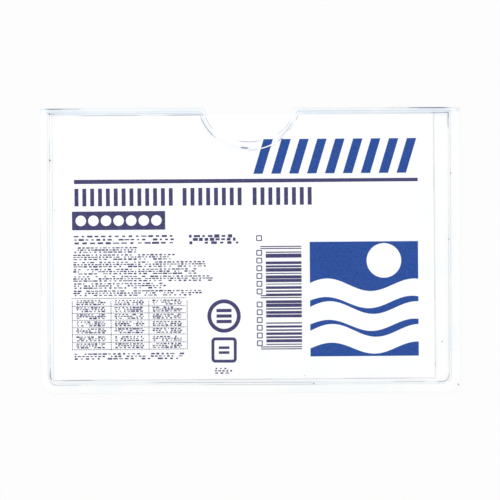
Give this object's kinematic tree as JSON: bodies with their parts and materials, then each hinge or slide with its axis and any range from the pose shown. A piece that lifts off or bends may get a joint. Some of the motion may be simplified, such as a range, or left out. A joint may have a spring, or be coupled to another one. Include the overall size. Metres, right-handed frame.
{
  "type": "magnetic document pocket",
  "caption": "Clear soft pocket with a thumb notch and a magnetic back, holding a loose printed card.",
  "frame": {"origin": "middle of the back face", "axes": "+X to the right as seen from the front, +Y towards the mouth, +Z out of the front"},
  "size_m": [0.103, 0.07, 0.0017],
  "materials": {
    "magnet_rubber": "matt",
    "white_vinyl": "satin",
    "clear_vinyl": "gloss",
    "card_stock": "matt"
  },
  "bodies": {
    "root": {"magnet_sheet": "magnet_rubber", "backing_film": "white_vinyl", "front_film": "clear_vinyl", "insert_card": "card_stock"}
  },
  "joints": []
}
